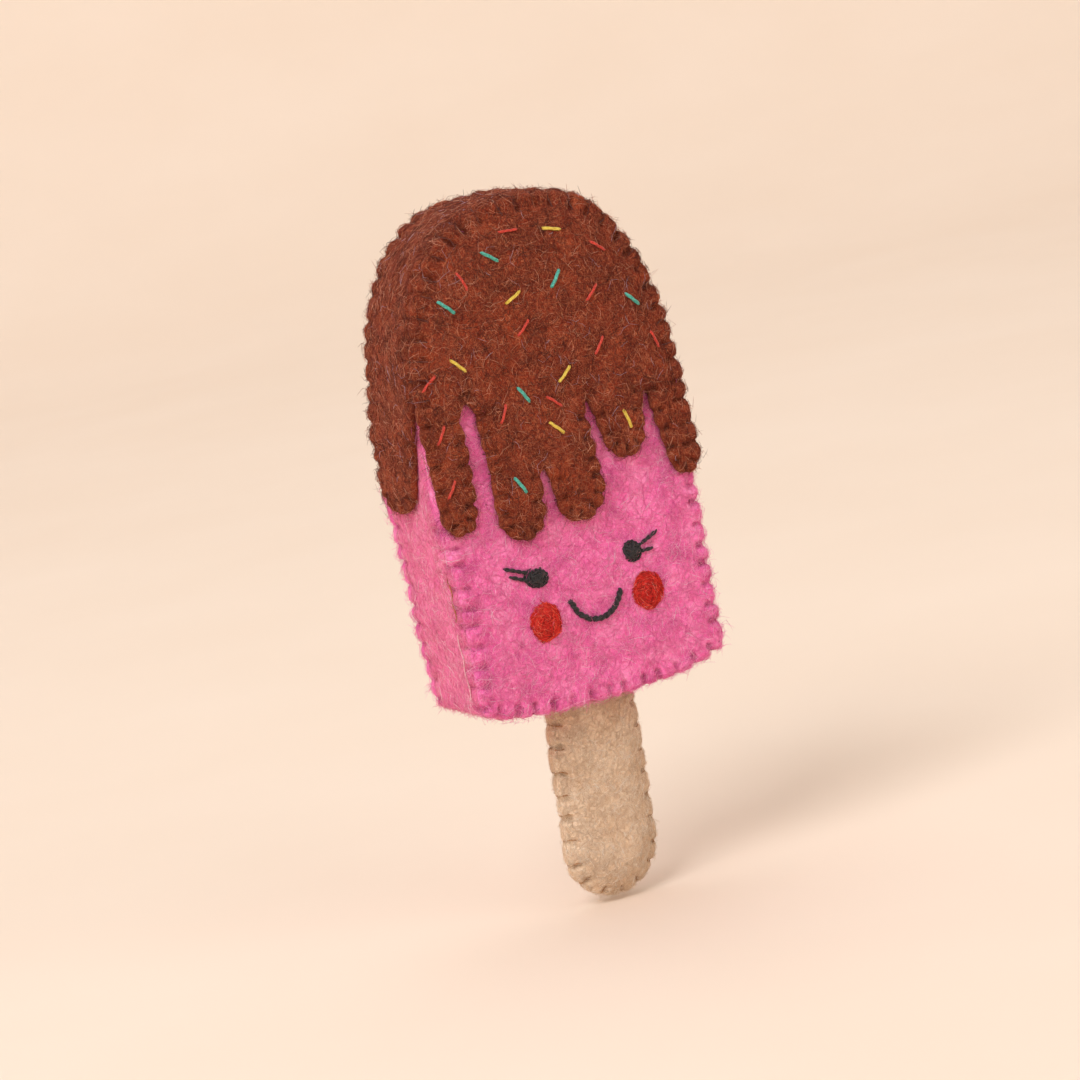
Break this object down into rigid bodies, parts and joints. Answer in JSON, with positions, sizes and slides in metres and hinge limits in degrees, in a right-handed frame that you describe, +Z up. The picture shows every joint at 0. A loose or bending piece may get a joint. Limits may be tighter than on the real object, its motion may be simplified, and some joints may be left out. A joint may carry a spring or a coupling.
{
  "type": "felt ice lolly toy",
  "caption": "Hand-sewn stuffed felt ice lolly on a felt stick, with a dripping chocolate coat, stitched sprinkles and a smiling face.",
  "frame": {"origin": "the lowest point of the rounded end of the stick, in the middle of its width and thickness", "axes": "+Z up along the stick to the rounded top of the body; the face looks along -Y; +X is to the viewer's right when facing the toy"},
  "size_m": [0.0652, 0.0289, 0.152],
  "materials": {
    "pink_felt": "wool felt",
    "chocolate_felt": "wool felt",
    "beige_felt": "wool felt",
    "wadding": "loose wadding",
    "pink_thread": "cotton floss",
    "chocolate_thread": "cotton floss",
    "beige_thread": "cotton floss",
    "black_floss": "cotton floss",
    "red_wool": "needled wool",
    "red_floss": "stranded floss",
    "yellow_floss": "stranded floss",
    "teal_floss": "stranded floss"
  },
  "bodies": {
    "root": {"front_panel": "pink_felt", "back_panel": "pink_felt", "side_gusset": "pink_felt", "bottom_gusset": "pink_felt", "body_wadding": "wadding", "chocolate_front": "chocolate_felt", "chocolate_back": "chocolate_felt", "chocolate_gusset": "chocolate_felt", "stick_front_panel": "beige_felt", "stick_back_panel": "beige_felt", "stick_wadding": "wadding", "front_seam_thread": "pink_thread", "back_seam_thread": "pink_thread", "chocolate_front_seam_thread": "chocolate_thread", "chocolate_back_seam_thread": "chocolate_thread", "drip_front_thread": "chocolate_thread", "drip_back_thread": "chocolate_thread", "stick_seam_thread": "beige_thread", "left_eye": "black_floss", "right_eye": "black_floss", "left_eye_upper_lash": "black_floss", "left_eye_lower_lash": "black_floss", "right_eye_upper_lash": "black_floss", "right_eye_lower_lash": "black_floss", "left_cheek": "red_wool", "right_cheek": "red_wool", "smile_thread": "black_floss", "red_sprinkle_1": "red_floss", "red_sprinkle_2": "red_floss", "red_sprinkle_3": "red_floss", "red_sprinkle_4": "red_floss", "red_sprinkle_5": "red_floss", "red_sprinkle_6": "red_floss", "red_sprinkle_7": "red_floss", "red_sprinkle_8": "red_floss", "red_sprinkle_9": "red_floss", "red_sprinkle_10": "red_floss", "red_sprinkle_11": "red_floss", "red_sprinkle_12": "red_floss", "yellow_sprinkle_1": "yellow_floss", "yellow_sprinkle_2": "yellow_floss", "yellow_sprinkle_3": "yellow_floss", "yellow_sprinkle_4": "yellow_floss", "yellow_sprinkle_5": "yellow_floss", "yellow_sprinkle_6": "yellow_floss", "teal_sprinkle_1": "teal_floss", "teal_sprinkle_2": "teal_floss", "teal_sprinkle_3": "teal_floss", "teal_sprinkle_4": "teal_floss", "teal_sprinkle_5": "teal_floss", "teal_sprinkle_6": "teal_floss"}
  },
  "joints": []
}
